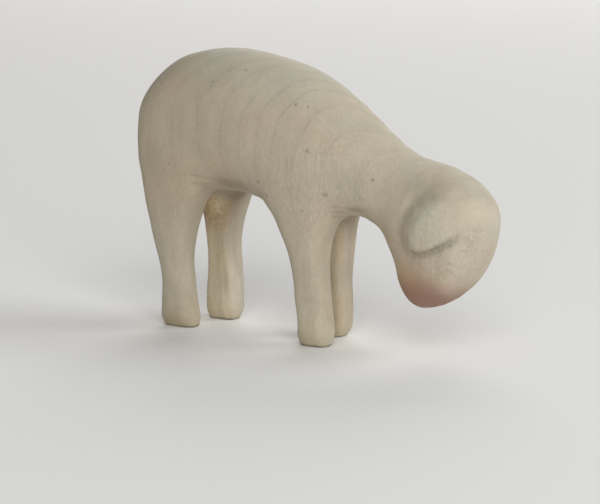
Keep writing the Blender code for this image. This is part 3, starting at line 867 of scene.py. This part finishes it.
# painted shade in the hollows under the belly, between the legs and in the corners, and the warmer cast of
# inner faces and feet
def layPaintedShadeAndTints(tree, colour, up, soft):
    deep = reckon(tree, "ADD", mark(tree, "hollow"), times(tree, soft, frays["hollow"]))
    corner = times(tree, mark(tree, "corner"), wash["cornerShare"])
    paintedShade = reckon(tree, "MAXIMUM", eased(tree, deep, "hollow"), corner)
    colour = layOver(tree, paintedShade, colour, wash["paintedHollowShade"])
    colour = layOver(tree, mark(tree, "inward"), colour, wash["innerTint"], "MULTIPLY")
    low = reckon(tree, "MULTIPLY_ADD", soft, frays["feet"], up)
    return layOver(tree, eased(tree, low, "onFeet"), colour, wash["footTint"], "MULTIPLY")


# the ochre on the left hind leg
def layOchre(tree, place, colour):
    share = times(tree, mark(tree, "ochre"), easedLumps(tree, place, "strokes"))
    return layOver(tree, share, colour, wash["ochre"])


# the ears' cool cast, the nape's darker patch, and the stain rubbed into the grooves
def layEarStain(tree, place, colour, ragged, soft):
    tint = times(tree, mark(tree, "margin"), eased(tree, ragged, "margin"))
    colour = layOver(tree, tint, colour, wash["earTint"], "MULTIPLY")
    colour = layOver(tree, mark(tree, "lobe"), colour, wash["lobeTint"], "MULTIPLY")
    shade = times(tree, mark(tree, "nape"), eased(tree, soft, "nape"))
    colour = layOver(tree, shade, colour, wash["grooveStain"])
    groove = times(tree, eased(tree, ragged, "fuzzy"), mark(tree, "groove"))
    groove = times(tree, eased(tree, groove, "whole"), wash["grooveShare"])
    colour = layOver(tree, groove, colour, wash["grooveStain"])
    line = times(tree, easedLumps(tree, place, "frayed"), mark(tree, "line"))
    line = times(tree, eased(tree, line, "whole"), wash["lineShare"])
    return layOver(tree, line, colour, wash["grooveStain"])


# a rosy cast on the throat, partly painted shade there, and the muzzle's blush, rose at its edge and
# pink-brown within
def layBlush(tree, colour, soft):
    colour = layOver(tree, times(tree, mark(tree, "throat"), wash["throatShare"]), colour, wash["rose"])
    uneven = reckon(tree, "SUBTRACT", soft, 0.5)
    blush = reckon(tree, "MULTIPLY_ADD", uneven, frays["blush"], mark(tree, "muzzle"))
    colour = layOver(tree, eased(tree, blush, "rose"), colour, wash["rose"])
    return layOver(tree, eased(tree, blush, "muzzlePink"), colour, wash["muzzlePink"])


# the largest of the pin specks' masks, each on the skin's nearest point and a little ragged
def speckMask(tree, group, place, blur):
    blurred = put(tree, "VectorMath", {0: blur, 1: (0.5, 0.5, 0.5)}, operation="SUBTRACT").outputs[0]
    feeds = {0: blurred, 1: frays["speck"], 2: place}
    ragPlace = put(tree, "VectorMath", feeds, operation="MULTIPLY_ADD").outputs[0]
    dark = 0.0
    for centre, radius in specks:
        nearest = ((points - np.array(centre)) ** 2).sum(1).argmin()
        one = addSpot(tree, group, ragPlace, points[nearest] + shift, radius)
        dark = reckon(tree, "MAXIMUM", one, dark)
    return dark


def makeWashedWood():
    material = bpy.data.materials.new("whitewashedLimewood")
    material.use_nodes = True
    tree = material.node_tree
    shader = tree.nodes["Principled BSDF"]
    metres = put(tree, "TexCoord", {}).outputs["Object"]
    place = put(tree, "VectorMath", {0: metres, "Scale": 1 / mm}, operation="SCALE").outputs[0]
    along, _, up = put(tree, "SeparateXYZ", {0: place}).outputs
    mottle, grit, fibre, ragged, soft = (
        lumps(tree, place, name) for name in ("mottle", "grit", "fibre", "ragged", "soft"))

    # the wash is greenish here and rosy there
    colour = layOver(tree, easedLumps(tree, place, "greenish"), wash["cream"], wash["greenish"])
    elsewhere = put(tree, "VectorMath", {0: place, 1: noises["rosy"]["away"]}, operation="ADD").outputs[0]
    colour = layOver(tree, easedLumps(tree, elsewhere, "rosy"), colour, wash["rosy"])

    # upright fibres, strongest at the shoulder, and a faint shade that leads into each growth ring's line
    tone = washTone(tree, place, along, up, mottle, grit)
    fibreShare = eased(tree, mark(tree, "shoulder"), "shoulder")
    tone = reckon(tree, "MULTIPLY_ADD", eased(tree, fibre, "fibre"), fibreShare, tone)
    lead = eased(tree, reckon(tree, "FRACT", mark(tree, "ringCount")), "lead")
    tone = reckon(tree, "SUBTRACT", tone, times(tree, lead, wash["lead"]))
    colour = layOver(tree, 1.0, colour, tone, "MULTIPLY")
    ring = ringLine(tree, place)
    colour = layOver(tree, times(tree, ring, wash["ringShare"]), colour, wash["ringLine"])

    colour = layPaintedShadeAndTints(tree, colour, up, soft)
    colour = layOchre(tree, place, colour)
    colour = layEarStain(tree, place, colour, ragged, soft)
    colour = layBlush(tree, colour, soft)
    spotGroup = makeSpotGroup()
    # the patches' tints, partly the wash's own and partly painted light and shade
    for centre, reach, tint in washAndPaintedLightPatches:
        within = addSpot(tree, spotGroup, place, centre, reach)
        colour = layOver(tree, within, colour, tint, "MULTIPLY")

    # torn grain on the cheek below the ear, and a little on the ear
    torn = reckon(tree, "ADD", mark(tree, "torn"), times(tree, mark(tree, "lobe"), wash["lobeTorn"]))
    blur = put(tree, "TexNoise", {"Vector": place, **noises["blur"]}).outputs["Color"]
    feeds = {0: blur, 1: frays["flecks"], 2: place}
    bent = put(tree, "VectorMath", feeds, operation="MULTIPLY_ADD").outputs[0]
    flecks = lumps(tree, bent, "flecks")
    fleckTone = reckon(tree, "MULTIPLY_ADD", eased(tree, flecks, "flecks"), torn, 1.0)
    colour = layOver(tree, 1.0, colour, fleckTone, "MULTIPLY")

    # pin specks, and bare wood where the wash is rubbed off the feet's lower edges
    dark = speckMask(tree, spotGroup, place, blur)
    colour = layOver(tree, times(tree, dark, wash["speckShare"]), colour, wash["speck"])
    bare = reckon(tree, "MULTIPLY_ADD", ragged, frays["rim"], mark(tree, "rim"))
    colour = layOver(tree, eased(tree, bare, "bareRim"), colour, wash["bareRim"])
    tree.links.new(colour, shader.inputs["Base Color"])
    tree.links.new(eased(tree, mottle, "roughness"), shader.inputs["Roughness"])
    shader.inputs["Specular IOR Level"].default_value = wash["shine"]

    height = times(tree, mottle, heights["mottle"])
    shapes = {"fibre": times(tree, fibre, fibreShare), "ring": ring, "flecks": times(tree, flecks, torn),
              "speck": dark, "grit": grit}
    for name, shape in shapes.items():
        height = reckon(tree, "MULTIPLY_ADD", shape, heights[name], height)
    bump = put(tree, "Bump", {"Height": height, "Distance": mm, "Strength": 1.0})
    tree.links.new(bump.outputs[0], shader.inputs["Normal"])
    return material


skin.materials.append(makeWashedWood())
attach(sheep, "root")
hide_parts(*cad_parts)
print("skin finished:", len(skin.polygons) * 2, "triangles")

# pale floor and soft studio light
studio = {
    "floorSize": 6.0, "floor": (0.86, 0.85, 0.84), "floorRough": 0.9,
    "sky": (1.0, 0.98, 0.98), "skyStrength": 0.18,
    "elevation": 28, "distance": 2.0, "aimHeight": 0.03, "size": 1.4,    # of every lamp
    "lamps": {
        "window": {"azimuth": 120, "power": 19.4, "colour": (0.94, 0.99, 1.0)},
        "back": {"azimuth": 205, "power": 15.0, "colour": (1.0, 0.98, 0.95)},
        "lamp": {"azimuth": 40, "power": 25.5, "colour": (0.98, 1.0, 0.97)},
    },
}


def makeFloor():
    half = studio["floorSize"] / 2
    edges = [(-half, -half, 0), (half, -half, 0), (half, half, 0), (-half, half, 0)]
    mesh = bpy.data.meshes.new("floor")
    mesh.from_pydata(edges, [], [(0, 1, 2, 3)])
    floor = bpy.data.objects.new("floor", mesh)
    paint = bpy.data.materials.new("paleFloor")
    paint.use_nodes = True
    shader = paint.node_tree.nodes["Principled BSDF"]
    shader.inputs["Base Color"].default_value = (*studio["floor"], 1)
    shader.inputs["Roughness"].default_value = studio["floorRough"]
    mesh.materials.append(paint)
    bpy.context.scene.collection.objects.link(floor)


def makeLamp(name, azimuth, power, colour):
    way = wayTo(azimuth, studio["elevation"])
    data = bpy.data.lights.new(name, "AREA")
    data.size, data.energy, data.color = studio["size"], power, colour
    lamp = bpy.data.objects.new(name, data)
    lamp.location = way * studio["distance"] + Vector((0, 0, studio["aimHeight"]))
    lamp.rotation_euler = way.to_track_quat("Z", "Y").to_euler()
    bpy.context.scene.collection.objects.link(lamp)


def makeSky():
    world = bpy.data.worlds.new("sky")
    world.use_nodes = True
    background = world.node_tree.nodes["Background"]
    background.inputs["Color"].default_value = (*studio["sky"], 1)
    background.inputs["Strength"].default_value = studio["skyStrength"]
    bpy.context.scene.world = world


makeFloor()
for name, lamp in studio["lamps"].items():
    makeLamp(name, **lamp)
makeSky()
bpy.context.scene.view_settings.view_transform = "Standard"
print("studio ready")
